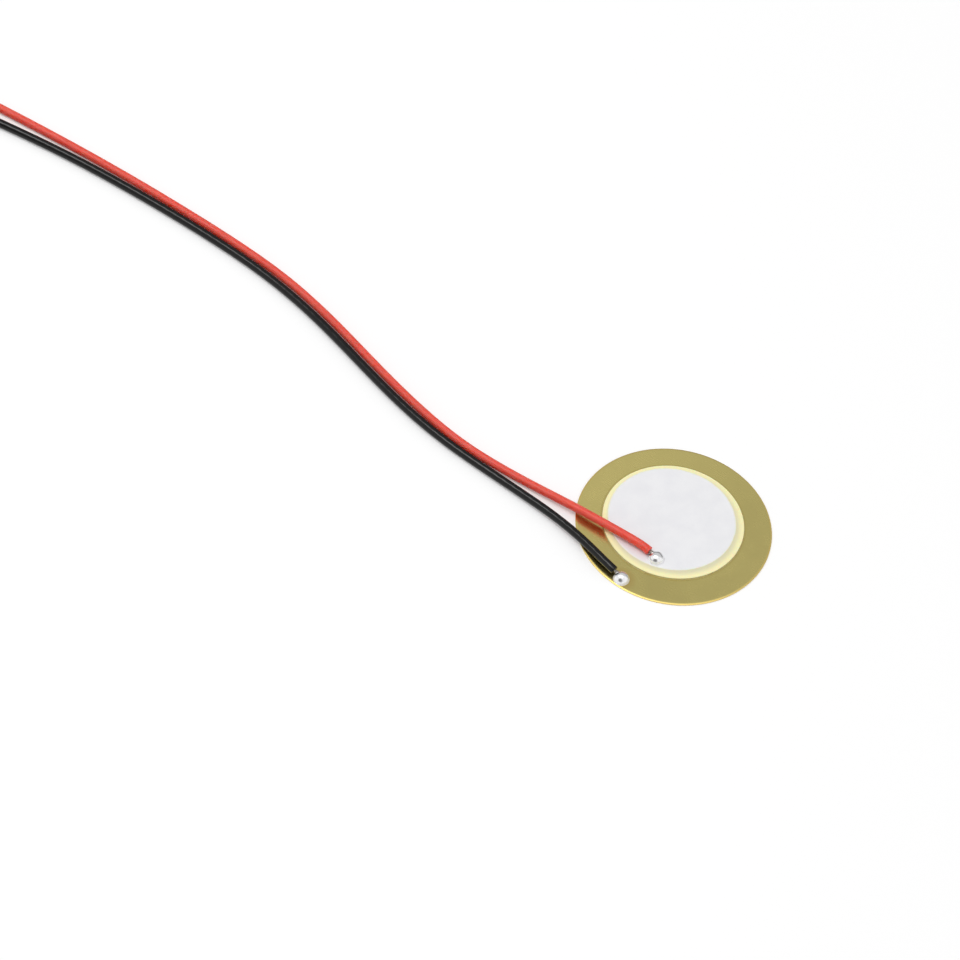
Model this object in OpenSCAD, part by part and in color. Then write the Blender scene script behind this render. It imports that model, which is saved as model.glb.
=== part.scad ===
// Piezo disc with two soldered leads.
// A thin brass plate carries a silvered ceramic disc that is bonded to it off centre. The red lead is
// soldered to the silver on top of the ceramic, the black lead to the rim of the plate.
// Millimetres, +Z up. The origin is the centre of the plate's back face. The leads run towards -X and
// lie on the surface that the plate rests on.

/* [Plate] */
// Diameter of the brass plate
plate_d = 27; // [20:0.5:50]
// Thickness of the brass sheet
plate_t = 0.2; // [0.1:0.05:0.5]
// Radius rolled onto the plate's upper edge by the punch
plate_edge_r = 0.05; // [0.02:0.01:0.08]

/* [Adhesive] */
// Thickness of the adhesive under the ceramic
bond_t = 0.02; // [0.01:0.01:0.1]
// Width of the adhesive squeezed out round the ceramic
bond_bead_w = 0.12; // [0.05:0.01:0.3]
// Height of that bead against the ceramic's side
bond_bead_h = 0.09; // [0.05:0.01:0.15]

/* [Ceramic] */
// Diameter of the ceramic disc
ceramic_d = 19.5; // [12:0.5:22]
// Thickness of the ceramic disc
ceramic_t = 0.2; // [0.15:0.05:0.5]
// Radius worn onto the ceramic's upper edge
ceramic_edge_r = 0.03; // [0.01:0.01:0.05]
// How far the ceramic sits off the plate's centre along X
ceramic_shift_x = -0.4; // [-0.8:0.05:0.8]
// How far the ceramic sits off the plate's centre along Y
ceramic_shift_y = 0.4; // [-0.8:0.05:0.8]

/* [Electrodes] */
// Thickness of the fired silver on both faces of the ceramic
electrode_t = 0.01; // [0.005:0.005:0.03]
// Bare margin round the silver on the top face
front_electrode_margin = 1.1; // [0.4:0.05:4]
// How far the top silver is printed off the ceramic's centre along X
front_electrode_shift_x = -0.4; // [-0.4:0.05:0.4]
// How far the top silver is printed off the ceramic's centre along Y
front_electrode_shift_y = 0.25; // [-0.4:0.05:0.4]
// Bare margin round the silver on the hidden face
rear_electrode_margin = 0.4; // [0.2:0.1:2]

/* [Red joint] */
// Diameter of the red lead's solder, measured over its foot
red_solder_d = 2.3; // [1.6:0.1:3.5]
// Height of the red lead's solder
red_solder_h = 1.05; // [0.9:0.05:1.6]
// Silver left between the solder's foot and the edge of the electrode
red_solder_inset = 0.05; // [0.05:0.05:3]
// Direction from the electrode's centre to the red joint
red_joint_angle = 288; // [270:1:300]
// Direction in which the red lead leaves its joint
red_exit_angle = 177; // [165:1:190]
// Bare wire between the red lead's solder and its jacket
red_wire_gap = 0.1; // [0.05:0.05:1.5]

/* [Black joint] */
// Diameter of the black lead's solder, measured over its foot
black_solder_d = 2.3; // [1.6:0.1:3]
// Height of the black lead's solder
black_solder_h = 1.1; // [0.9:0.05:1.6]
// Brass left between the solder's foot and the plate's rolled edge
black_solder_inset = 0.05; // [0.02:0.01:0.3]
// Direction from the plate's centre to the black joint
black_joint_angle = 269; // [260:1:280]
// Direction in which the black lead leaves its joint
black_exit_angle = 173; // [160:1:185]
// Bare wire between the black lead's solder and its jacket
black_wire_gap = 0.2; // [0.05:0.05:1.5]

/* [Solder] */
// Width of the thin foot that the molten solder wets round each joint
solder_foot_w = 0.04; // [0.02:0.01:0.2]
// Thickness of the solder drawn along the wire
solder_wick_t = 0.14; // [0.05:0.01:0.25]

/* [Leads] */
// Outer diameter of each lead's jacket
jacket_d = 1.2; // [0.9:0.05:1.3]
// Diameter of the stranded wire inside
core_d = 0.38; // [0.2:0.02:0.5]
// Clearance between the wire and its jacket, and between the wire and the solder
core_gap = 0.01; // [0.005:0.005:0.03]
// Height of the wire's centre above the face that it is soldered to
core_height = 0.46; // [0.35:0.01:0.6]
// Clearance under the jacket's soldered end
jacket_lift = 0.04; // [0.02:0.01:0.2]
// How far the wire reaches past the middle of each joint
core_past = 0.4; // [0.2:0.05:0.6]
// Length of tinned wire left bare at each free end
bare_end = 4; // [2:0.5:10]

/* [Hidden] */

brass_colour = [0.71, 0.66, 0.42];
bond_colour = [0.93, 0.86, 0.6];
silver_colour = [0.9, 0.9, 0.92];
ceramic_colour = [0.93, 0.88, 0.68];
solder_colour = [0.78, 0.79, 0.81];
red_colour = [0.86, 0.18, 0.14];
black_colour = [0.09, 0.08, 0.09];
tinned_colour = [0.74, 0.74, 0.74];

// Heights of the layers above the plate's back face
bond_z = plate_t;
rear_z = bond_z + bond_t;
ceramic_z = rear_z + electrode_t;
front_z = ceramic_z + ceramic_t;
top_z = front_z + electrode_t;

// Centres of the ceramic and of the silver on it, seen from above
ceramic_at = [ceramic_shift_x, ceramic_shift_y];
front_at = ceramic_at + [front_electrode_shift_x, front_electrode_shift_y];

front_electrode_d = ceramic_d - 2 * front_electrode_margin;
rear_electrode_d = ceramic_d - 2 * rear_electrode_margin;

// Each joint sits inside the edge of what it is soldered to
red_joint_r = front_electrode_d / 2 - red_solder_inset - red_solder_d / 2;
black_joint_r = plate_d / 2 - plate_edge_r - black_solder_inset - black_solder_d / 2;
red_joint_at = front_at + polar(red_joint_r, red_joint_angle);
black_joint_at = polar(black_joint_r, black_joint_angle);

// From the middle of each joint to its jacket
red_bare = red_solder_d / 2 + red_wire_gap;
black_bare = black_solder_d / 2 + black_wire_gap;

// The wire's centre in the middle of each joint, and the middle of each jacket's soldered end
red_core_at = [red_joint_at.x, red_joint_at.y, top_z + core_height];
black_core_at = [black_joint_at.x, black_joint_at.y, plate_t + core_height];
jacket_end_rise = jacket_d / 2 + jacket_lift - core_height;
red_exit = exit_way(red_exit_angle, jacket_end_rise / red_bare);
black_exit = exit_way(black_exit_angle, jacket_end_rise / black_bare);
red_jacket_at = red_core_at + red_bare * red_exit;
black_jacket_at = black_core_at + black_bare * black_exit;

// Each lead leaves its joint straight for this length
straight_run = 1.5;

// Routes of the leads after that run: x, y and the gap under the jacket, above the plate's back face
red_route = [
    [-4.9, -6.6, 0.78], [-8.6, -6.8, 0.7], [-13, -7, 0.47], [-18, -7.4, 0.18], [-24, -7.8, 0],
    [-30.6, -7.9, 0], [-37.8, -6.8, 0], [-44.8, -5.2, 0], [-52, -3.2, 0], [-59, -1.4, 0],
    [-66, -0.2, 0], [-73, 0.2, 0], [-81, 0.2, 0], [-89, 0, 0], [-97, -0.4, 0],
    [-105, -1, 0], [-113, -1.8, 0], [-121, -2.7, 0], [-129, -3.6, 0], [-136, -4.3, 0], [-143.3, -4.8, 0]
];
black_route = [
    [-5.1, -11.4, 0.45], [-8.4, -10.6, 0.42], [-13.1, -9.8, 0.25], [-18.1, -9.5, 0.08], [-24.2, -9.3, 0],
    [-31.4, -9.1, 0], [-38.3, -8.2, 0], [-45.2, -6.6, 0], [-52, -4.7, 0], [-59, -2.9, 0],
    [-66, -1.7, 0], [-73, -1.2, 0], [-81, -1.2, 0], [-89, -1.5, 0], [-97, -2, 0],
    [-105, -2.9, 0], [-113, -4.2, 0], [-121, -5.6, 0], [-129, -7, 0], [-136, -8, 0], [-144.6, -9, 0]
];

// Rings between two route points, and sides of a swept lead
ring_steps = 2;
lead_sides = 8;

round_sides = 96;
joint_sides = 48;
bore_sides = 24;
edge_steps = 4;
dome_steps = 10;

// Angle up the side of a solder dome at which it turns out into its foot
foot_turn = 8;

function polar(r, a) = [r * cos(a), r * sin(a)];

// Hollow curve that leaves the foot flat and reaches the top upright
function cove(foot, top, steps) = [for (k = [0 : steps])
    let (a = 90 * k / steps) [foot.x + (top.x - foot.x) * sin(a), foot.y + (top.y - foot.y) * (1 - cos(a))]];

// Unit vector that points along the bearing a and climbs by the sine s
function exit_way(a, s) = let (c = sqrt(1 - s * s)) [c * cos(a), c * sin(a), s];

function unit(v) = v / norm(v);

// Cubic B-spline through the neighbourhood of four points, at t from 0 to 1
function spline_at(a, b, c, d, t) =
    (pow(1 - t, 3) * a + (3 * pow(t, 3) - 6 * t * t + 4) * b
    + (-3 * pow(t, 3) + 3 * t * t + 3 * t + 1) * c + pow(t, 3) * d) / 6;

// The smooth line that starts at the first point, ends at the last and follows those between
function smooth_line(p, steps) =
    let (n = len(p), q = concat([2 * p[0] - p[1]], p, [2 * p[n - 1] - p[n - 2]]))
    concat(
        [for (i = [0 : n - 2]) for (k = [0 : steps - 1])
            spline_at(q[i], q[i + 1], q[i + 2], q[i + 3], k / steps)],
        [p[n - 1]]
    );

// Centre line of a jacket, from its soldered end to its free end
function jacket_line(start, way, route) = smooth_line(
    concat([start, start + straight_run * way], [for (p = route) [p.x, p.y, p.z + jacket_d / 2]]),
    ring_steps
);

// Centre line of the wire, which reaches past both ends of its jacket
function core_line(jacket, start, way, bare) =
    let (n = len(jacket), end_way = unit(jacket[n - 1] - jacket[n - 2]))
    concat([start - (bare + core_past) * way], jacket, [jacket[n - 1] + bare_end * end_way]);

// Direction of the line at its point i
function way_at(line, i) =
    unit(line[min(i + 1, len(line) - 1)] - line[max(i - 1, 0)]);

// Ring of points round the line's point i, the first one lowest
function ring_at(line, i, r) =
    let (way = way_at(line, i), side = unit(cross([0, 0, 1], way)), up = cross(way, side))
    [for (k = [0 : lead_sides - 1])
        let (a = 360 * k / lead_sides - 90) line[i] + r * (cos(a) * side + sin(a) * up)];

function rings(line, r) = [for (i = [0 : len(line) - 1]) each ring_at(line, i, r)];

// Two triangles for each side between two rings of a wall whose first point has index base
function wall_faces(count, base, outward) =
    [for (i = [0 : count - 2]) for (k = [0 : lead_sides - 1])
        let (a = base + i * lead_sides + k, b = base + i * lead_sides + (k + 1) % lead_sides)
        each outward
            ? [[a, a + lead_sides, b + lead_sides], [a, b + lead_sides, b]]
            : [[a, b + lead_sides, a + lead_sides], [a, b, b + lead_sides]]];

// Flat ring between the outer wall's ring at index a and the inner wall's ring at index b
function cap_faces(a, b, at_start) =
    [for (k = [0 : lead_sides - 1])
        let (n = (k + 1) % lead_sides)
        each at_start
            ? [[a + k, a + n, b + n], [a + k, b + n, b + k]]
            : [[a + k, b + n, a + n], [a + k, b + k, b + n]]];

red_jacket_line = jacket_line(red_jacket_at, red_exit, red_route);
black_jacket_line = jacket_line(black_jacket_at, black_exit, black_route);

module round_plate(d, t, edge_r) {
    r = d / 2;
    rotate_extrude($fn = round_sides)
        polygon(concat(
            [[0, 0], [r, 0]],
            [for (k = [0 : edge_steps]) [r - edge_r, t - edge_r] + polar(edge_r, 90 * k / edge_steps)],
            [[0, t]]
        ));
}

// Dome of solder whose side turns outwards into a thin wetted foot
module solder_dome(d, h) {
    cap_r = d / 2 - solder_foot_w;
    rotate_extrude($fn = joint_sides)
        polygon(concat(
            [[0, 0]],
            cove([d / 2, 0], [cap_r * cos(foot_turn), h * sin(foot_turn)], edge_steps),
            [for (k = [1 : dome_steps])
                let (a = foot_turn + (90 - foot_turn) * k / dome_steps) [cap_r * cos(a), h * sin(a)]]
        ));
}

// Places its children with their +Z along the way v, from the point p
module along(p, v) {
    translate(p)
        rotate([0, acos(v.z), atan2(v.y, v.x)])
            children();
}

// Joint whose solder stands on the face at height z and is drawn along the bare wire
module solder_joint(at, z, d, h, core_at, exit, bare) {
    bore_r = core_d / 2 + core_gap;
    wick_l = (d / 2 + bare) / 2;
    difference() {
        union() {
            translate([at.x, at.y, z])
                solder_dome(d, h);
            along(core_at, exit)
                cylinder(h = wick_l, r1 = bore_r + 2 * solder_wick_t, r2 = bore_r + solder_wick_t / 2,
                    $fn = bore_sides);
        }
        along(core_at - (core_past + core_gap) * exit, exit)
            cylinder(h = core_past + bare, r = bore_r, $fn = bore_sides);
        translate([at.x, at.y, z - h])
            cylinder(h = h, d = d + 2 * bare, $fn = bore_sides);
    }
}

module swept_jacket(line) {
    n = len(line);
    inner = n * lead_sides;
    polyhedron(
        points = concat(rings(line, jacket_d / 2), rings(line, core_d / 2 + core_gap)),
        faces = concat(
            wall_faces(n, 0, true),
            wall_faces(n, inner, false),
            cap_faces(0, inner, true),
            cap_faces((n - 1) * lead_sides, inner + (n - 1) * lead_sides, false)
        )
    );
}

module swept_core(line) {
    n = len(line);
    polyhedron(
        points = rings(line, core_d / 2),
        faces = concat(
            wall_faces(n, 0, true),
            [[for (k = [0 : lead_sides - 1]) k]],
            [[for (k = [lead_sides - 1 : -1 : 0]) (n - 1) * lead_sides + k]]
        )
    );
}

module brass_plate() {
    color(brass_colour)
        round_plate(plate_d, plate_t, plate_edge_r);
}

// Adhesive with a pocket for the rear silver and a bead up the ceramic's side
module bond_film() {
    ceramic_r = ceramic_d / 2;
    rear_r = rear_electrode_d / 2;
    color(bond_colour)
        translate([ceramic_at.x, ceramic_at.y, bond_z])
            rotate_extrude($fn = round_sides)
                polygon(concat(
                    [[0, 0]],
                    cove([ceramic_r + bond_bead_w, 0], [ceramic_r, bond_bead_h], edge_steps),
                    [[ceramic_r, bond_t + electrode_t], [rear_r, bond_t + electrode_t], [rear_r, bond_t]],
                    [[0, bond_t]]
                ));
}

module rear_electrode() {
    color(silver_colour)
        translate([ceramic_at.x, ceramic_at.y, rear_z])
            cylinder(h = electrode_t, d = rear_electrode_d, $fn = round_sides);
}

module ceramic_disc() {
    color(ceramic_colour)
        translate([ceramic_at.x, ceramic_at.y, ceramic_z])
            round_plate(ceramic_d, ceramic_t, ceramic_edge_r);
}

module front_electrode() {
    color(silver_colour)
        translate([front_at.x, front_at.y, front_z])
            cylinder(h = electrode_t, d = front_electrode_d, $fn = round_sides);
}

module red_solder_joint() {
    color(solder_colour)
        solder_joint(red_joint_at, top_z, red_solder_d, red_solder_h, red_core_at, red_exit, red_bare);
}

module black_solder_joint() {
    color(solder_colour)
        solder_joint(black_joint_at, plate_t, black_solder_d, black_solder_h, black_core_at, black_exit,
            black_bare);
}

module red_lead_jacket() {
    color(red_colour)
        swept_jacket(red_jacket_line);
}

module red_lead_conductor() {
    color(tinned_colour)
        swept_core(core_line(red_jacket_line, red_jacket_at, red_exit, red_bare));
}

module black_lead_jacket() {
    color(black_colour)
        swept_jacket(black_jacket_line);
}

module black_lead_conductor() {
    color(tinned_colour)
        swept_core(core_line(black_jacket_line, black_jacket_at, black_exit, black_bare));
}

brass_plate();
bond_film();
rear_electrode();
ceramic_disc();
front_electrode();
red_solder_joint();
black_solder_joint();
red_lead_jacket();
red_lead_conductor();
black_lead_jacket();
black_lead_conductor();
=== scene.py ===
"""A piezo disc with its two leads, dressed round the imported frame.

The frame gives the plate, the layers on it and the two solder joints. The leads follow the routes
that the part's source gives them, repeated here. Lengths are in metres, angles in degrees, and only
the points of the routes are in millimetres.
"""

import math

import bpy
import numpy as np
from mathutils import Matrix, Vector, noise


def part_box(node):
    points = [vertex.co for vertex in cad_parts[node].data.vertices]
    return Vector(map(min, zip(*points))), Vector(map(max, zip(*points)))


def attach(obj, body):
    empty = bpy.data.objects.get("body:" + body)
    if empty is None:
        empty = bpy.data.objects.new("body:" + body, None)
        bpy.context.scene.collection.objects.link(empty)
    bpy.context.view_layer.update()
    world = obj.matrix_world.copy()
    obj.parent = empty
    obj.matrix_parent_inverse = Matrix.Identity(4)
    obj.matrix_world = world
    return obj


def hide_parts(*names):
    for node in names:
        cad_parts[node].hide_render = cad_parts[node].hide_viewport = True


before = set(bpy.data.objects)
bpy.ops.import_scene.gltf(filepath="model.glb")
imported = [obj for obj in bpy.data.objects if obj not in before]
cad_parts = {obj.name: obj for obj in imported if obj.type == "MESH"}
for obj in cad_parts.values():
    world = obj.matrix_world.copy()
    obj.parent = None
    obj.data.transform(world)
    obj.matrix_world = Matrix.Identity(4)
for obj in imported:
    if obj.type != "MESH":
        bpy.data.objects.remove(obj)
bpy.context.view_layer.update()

MM = 0.001

# ---------------------------------------------------------------------------------------------
# Sizes that the part's source gives to the leads and their ends
# ---------------------------------------------------------------------------------------------

JACKET_R = 0.6 * MM
BORE_R = 0.20 * MM
STRAND_R = 0.0635 * MM
CORE_HEIGHT = 0.46 * MM
JACKET_LIFT = 0.04 * MM
CORE_PAST = 0.4 * MM
BARE_END = 4 * MM
STRAIGHT_RUN = 1.5 * MM

# Each lead: the bearing in which it leaves its joint, the distance from the joint's middle to its
# jacket, and its route as x, y and the gap under the jacket, in millimetres
LEADS = {
    "red": {
        "bearing": 177,
        "bare": 1.25 * MM,
        "route": [
            (-4.9, -6.6, 0.78), (-8.6, -6.8, 0.7), (-13, -7, 0.47), (-18, -7.4, 0.18),
            (-24, -7.8, 0), (-30.6, -7.9, 0), (-37.8, -6.8, 0), (-44.8, -5.2, 0),
            (-52, -3.2, 0), (-59, -1.4, 0), (-66, -0.2, 0), (-73, 0.2, 0),
            (-81, 0.2, 0), (-89, 0, 0), (-97, -0.4, 0), (-105, -1, 0),
            (-113, -1.8, 0), (-121, -2.7, 0), (-129, -3.6, 0), (-136, -4.3, 0),
            (-143.3, -4.8, 0),
        ],
    },
    "black": {
        "bearing": 173,
        "bare": 1.35 * MM,
        "route": [
            (-5.1, -11.4, 0.45), (-8.4, -10.6, 0.42), (-13.1, -9.8, 0.25), (-18.1, -9.5, 0.08),
            (-24.2, -9.3, 0), (-31.4, -9.1, 0), (-38.3, -8.2, 0), (-45.2, -6.6, 0),
            (-52, -4.7, 0), (-59, -2.9, 0), (-66, -1.7, 0), (-73, -1.2, 0),
            (-81, -1.2, 0), (-89, -1.5, 0), (-97, -2, 0), (-105, -2.9, 0),
            (-113, -4.2, 0), (-121, -5.6, 0), (-129, -7, 0), (-136, -8, 0),
            (-144.6, -9, 0),
        ],
    },
}

# ---------------------------------------------------------------------------------------------
# Camera
# ---------------------------------------------------------------------------------------------

# The eye: the bearing and height that it looks from, its roll, its distance from what it aims at,
# its lens in millimetres, and that aim
CAMERA_AZIMUTH = 27
CAMERA_ELEVATION = 51
CAMERA_ROLL = 11
CAMERA_DISTANCE = 1.4527
CAMERA_LENS = 400
CAMERA_AIM = Vector((-24.86, -10.87, 0)) * MM


def backward(azimuth, elevation):
    """Unit vector from what is looked at to the eye."""
    a = math.radians(azimuth)
    e = math.radians(elevation)
    return Vector((math.sin(a) * math.cos(e), -math.cos(a) * math.cos(e), math.sin(e)))


def make_camera():
    back = backward(CAMERA_AZIMUTH, CAMERA_ELEVATION)
    level = Vector((0, 0, 1)).cross(back).normalized()
    rise = back.cross(level)
    roll = math.radians(CAMERA_ROLL)
    right = math.cos(roll) * level + math.sin(roll) * rise
    up = math.cos(roll) * rise - math.sin(roll) * level
    turn = Matrix((right, up, back)).transposed().to_4x4()
    data = bpy.data.cameras.new("eye")
    data.lens = CAMERA_LENS
    data.clip_end = 20
    eye = bpy.data.objects.new("eye", data)
    eye.matrix_world = Matrix.Translation(CAMERA_AIM + CAMERA_DISTANCE * back) @ turn
    bpy.context.scene.collection.objects.link(eye)
    bpy.context.scene.camera = eye


make_camera()

# ---------------------------------------------------------------------------------------------
# Node building
# ---------------------------------------------------------------------------------------------


def add(tree, kind, inputs=None, **settings):
    """A new node with its settings, and its inputs set to values or joined to other sockets."""
    node = tree.nodes.new(kind)
    for key, value in settings.items():
        setattr(node, key, value)
    for key, value in (inputs or {}).items():
        if isinstance(value, bpy.types.NodeSocket):
            tree.links.new(value, node.inputs[key])
        else:
            node.inputs[key].default_value = value
    return node


def sum_of(tree, a, b):
    return add(tree, "ShaderNodeMath", {0: a, 1: b}, operation="ADD").outputs[0]


def product(tree, a, b):
    return add(tree, "ShaderNodeMath", {0: a, 1: b}, operation="MULTIPLY").outputs[0]


def larger(tree, a, b):
    return add(tree, "ShaderNodeMath", {0: a, 1: b}, operation="MAXIMUM").outputs[0]


def fitted(tree, value, low, high, to_low, to_high):
    """value, eased from the range low..high to the range to_low..to_high and held there."""
    return add(
        tree,
        "ShaderNodeMapRange",
        {"Value": value, "From Min": low, "From Max": high, "To Min": to_low, "To Max": to_high},
        interpolation_type="SMOOTHSTEP",
    ).outputs[0]


def blended(tree, amount, first, second):
    """Colour that goes from first to second as amount goes from 0 to 1."""
    return add(
        tree, "ShaderNodeMix", {0: amount, 6: first, 7: second}, data_type="RGBA"
    ).outputs[2]


def grain(tree, where, size, detail=2, roughness=0.5, distortion=0.0):
    """Noise whose lumps are about the given size across."""
    return add(
        tree,
        "ShaderNodeTexNoise",
        {
            "Vector": where,
            "Scale": 1 / size,
            "Detail": detail,
            "Roughness": roughness,
            "Distortion": distortion,
        },
    ).outputs[0]


def stretched(tree, where, scale, turn=0):
    """Coordinates turned about Z and scaled, so that a grain drawn on them comes out as streaks."""
    return add(
        tree,
        "ShaderNodeMapping",
        {"Vector": where, "Scale": scale, "Rotation": (0, 0, math.radians(turn))},
    ).outputs[0]


def distance_from(tree, where, centre):
    """Distance from the upright line through centre."""
    flat = add(
        tree,
        "ShaderNodeVectorMath",
        {0: where, 1: (1, 1, 0)},
        operation="MULTIPLY",
    ).outputs[0]
    return add(
        tree,
        "ShaderNodeVectorMath",
        {0: flat, 1: (centre[0], centre[1], 0)},
        operation="DISTANCE",
    ).outputs["Value"]


def facing(tree, way, target):
    """How far a direction faces the target: 1 towards it, -1 away from it."""
    return add(
        tree, "ShaderNodeVectorMath", {0: way, 1: target}, operation="DOT_PRODUCT"
    ).outputs["Value"]


def raised(tree, height, depth, under=None):
    """Bump whose full height stands the given depth proud."""
    inputs = {"Height": height, "Distance": depth, "Strength": 1.0}
    if under is not None:
        inputs["Normal"] = under
    return add(tree, "ShaderNodeBump", inputs).outputs[0]


def srgb(red, green, blue):
    """Linear colour with alpha from screen values of 0 to 255."""
    linear = []
    for part in (red / 255, green / 255, blue / 255):
        linear.append(part / 12.92 if part <= 0.04045 else ((part + 0.055) / 1.055) ** 2.4)
    return (*linear, 1.0)


def new_finish(name, **constants):
    """A material, its tree, its shader and its object coordinates. Constants are the shader's own."""
    finish = bpy.data.materials.new(name)
    finish.use_nodes = True
    tree = finish.node_tree
    shader = tree.nodes["Principled BSDF"]
    for key, value in constants.items():
        shader.inputs[key.replace("_", " ")].default_value = value
    where = add(tree, "ShaderNodeTexCoord").outputs["Object"]
    return finish, tree, shader, where


def wire_up(tree, shader, **sockets):
    for key, value in sockets.items():
        tree.links.new(value, shader.inputs[key.replace("_", " ")])


# ---------------------------------------------------------------------------------------------
# Places taken from the frame
# ---------------------------------------------------------------------------------------------


def middle(node):
    low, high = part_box(node)
    return (low + high) / 2


def foot_centre(node):
    """Centre of the flat foot on which a solder joint stands."""
    corners = np.array([v.co[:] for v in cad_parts[node].data.vertices])
    lowest = corners[corners[:, 2] < corners[:, 2].min() + 0.001 * MM]
    return Vector((lowest.min(axis=0) + lowest.max(axis=0)) / 2)


plate_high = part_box("brass_plate")[1]
PLATE_R = plate_high.x
PLATE_T = plate_high.z
ceramic_low, ceramic_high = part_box("ceramic_disc")
CERAMIC_AT = middle("ceramic_disc")
CERAMIC_R = (ceramic_high.x - ceramic_low.x) / 2
silver_low, silver_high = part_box("front_electrode")
SILVER_AT = middle("front_electrode")
SILVER_R = (silver_high.x - silver_low.x) / 2
JOINTS = {
    colour: {
        "seat": foot_centre(colour + "_solder_joint"),
        "top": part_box(colour + "_solder_joint")[1].z,
    }
    for colour in LEADS
}

# ---------------------------------------------------------------------------------------------
# Finishes
# ---------------------------------------------------------------------------------------------


def rolled_brass():
    """Brass sheet: faint rolling lines, soft cloudiness, a heat stain at the solder; a painted sheen on
    one side, painted shade round the ceramic, a painted highlight round the edge.
    """
    finish, tree, shader, where = new_finish("rolled_brass", Metallic=1.0, Anisotropic=0.25)
    cloud = grain(tree, where, 6 * MM, 3)
    fine = grain(tree, stretched(tree, where, (0.05, 1, 1), 18), 0.06 * MM, 3)
    scratches = grain(tree, stretched(tree, where, (0.05, 1, 1), -37), 0.07 * MM, 2, distortion=0.3)
    scratch = fitted(tree, scratches, 0.68, 0.74, 0, 1)
    # Painted sheen: the brass is painted lighter towards one side of the plate.
    across = stretched(tree, where, (1, 1, 1), 20)
    across = add(tree, "ShaderNodeSeparateXYZ", {0: across}).outputs[0]
    painted_sheen = fitted(tree, across, -PLATE_R, 0.5 * PLATE_R, 1, 0)
    body = blended(tree, fitted(tree, cloud, 0.3, 0.7, 0, 1), srgb(207, 193, 123), srgb(212, 198, 126))
    body = blended(tree, painted_sheen, body, srgb(225, 210, 134))
    grained = blended(tree, fitted(tree, fine, 0.35, 0.65, 0, 0.14), body, srgb(194, 178, 108))
    speck = fitted(tree, grain(tree, where, 0.5 * MM, 4, 0.7), 0.68, 0.76, 0, 0.45)
    specked = blended(tree, speck, grained, srgb(150, 128, 72))
    seat = JOINTS["black"]["seat"]
    warmth = fitted(tree, distance_from(tree, where, seat), 1.1 * MM, 2.4 * MM, 0.3, 0)
    stained = blended(tree, warmth, specked, srgb(186, 140, 70))
    # Painted shade: the brass is painted darker in a thin ring just outside the ceramic, where the step
    # meets the plate.
    ceramic_foot_shade = distance_from(tree, where, CERAMIC_AT)
    ceramic_foot_shade = fitted(tree, ceramic_foot_shade, CERAMIC_R + 0.2 * MM, CERAMIC_R + 0.42 * MM, 0.5, 0)
    filmed = blended(tree, ceramic_foot_shade, stained, srgb(196, 180, 108))
    # Painted highlight: the brass is painted lighter and yellower in a band round the plate's edge.
    rim = fitted(tree, distance_from(tree, where, (0, 0)), PLATE_R - 0.28 * MM, PLATE_R - 0.1 * MM, 0, 1)
    coloured = blended(tree, rim, filmed, srgb(232, 206, 124))
    dull = fitted(tree, grain(tree, where, 2.4 * MM, 3, 0.5), 0.3, 0.7, 0.2, 0.24)
    rough = sum_of(tree, dull, product(tree, fine, 0.08))
    bump = raised(tree, fine, 0.0004 * MM)
    bump = raised(tree, product(tree, scratch, -1), 0.0006 * MM, bump)
    wire_up(tree, shader, Base_Color=coloured, Roughness=rough, Normal=bump)
    return finish


def fired_silver():
    """Silver paste: matte, almost white, cloudy, with the print screen's faint weave."""
    finish, tree, shader, where = new_finish("fired_silver", Metallic=0.2, Specular_IOR_Level=0.4)
    cloud = grain(tree, where, 2.6 * MM, 4, 0.6)
    fleck = grain(tree, where, 0.25 * MM, 3, 0.6)
    base = blended(tree, fitted(tree, cloud, 0.3, 0.7, 0, 1), srgb(236, 236, 239), srgb(240, 240, 242))
    base = blended(tree, fitted(tree, fleck, 0.62, 0.75, 0, 0.3), base, srgb(222, 222, 226))
    turned = stretched(tree, where, (1, 1, 1), 22)
    apart = add(tree, "ShaderNodeSeparateXYZ", {0: turned})
    threads = []
    for axis in (0, 1):
        phase = product(tree, apart.outputs[axis], 2 * math.pi / (0.16 * MM))
        threads.append(add(tree, "ShaderNodeMath", {0: phase}, operation="SINE").outputs[0])
    weave = product(tree, threads[0], threads[1])
    paste = grain(tree, where, 0.05 * MM, 2)
    bump = raised(tree, weave, 0.0008 * MM)
    bump = raised(tree, paste, 0.004 * MM, bump)
    bump = raised(tree, cloud, 0.004 * MM, bump)
    rough = fitted(tree, cloud, 0.3, 0.7, 0.5, 0.58)
    wire_up(tree, shader, Base_Color=base, Roughness=rough, Normal=bump)
    return finish


def bare_ceramic():
    """Unglazed ceramic: pale yellow at its edge, greyer inwards, with a smear of silver at the print."""
    finish, tree, shader, where = new_finish(
        "bare_ceramic", Specular_IOR_Level=0.4, Subsurface_Weight=0.15, Subsurface_Scale=0.3 * MM
    )
    wander = product(tree, grain(tree, where, 1.2 * MM, 3), 0.12 * MM)
    out = sum_of(tree, distance_from(tree, where, CERAMIC_AT), wander)
    yellow = fitted(tree, out, CERAMIC_R - 1.1 * MM, CERAMIC_R - 0.18 * MM, 0, 1)
    grit = grain(tree, where, 0.05 * MM, 3, 0.6)
    inner = blended(tree, fitted(tree, grit, 0.35, 0.7, 0, 1), srgb(217, 212, 176), srgb(223, 218, 182))
    outer = blended(tree, fitted(tree, grit, 0.35, 0.7, 0, 1), srgb(247, 238, 183), srgb(251, 243, 191))
    base = blended(tree, yellow, inner, outer)
    smear = sum_of(tree, distance_from(tree, where, SILVER_AT), wander)
    smear = fitted(tree, smear, SILVER_R + 0.12 * MM, SILVER_R + 0.28 * MM, 1, 0)
    base = blended(tree, smear, base, srgb(237, 236, 231))
    bump = raised(tree, grit, 0.002 * MM)
    rough = fitted(tree, grit, 0.3, 0.7, 0.5, 0.7)
    wire_up(tree, shader, Base_Color=base, Roughness=rough, Normal=bump)
    return finish


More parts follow.
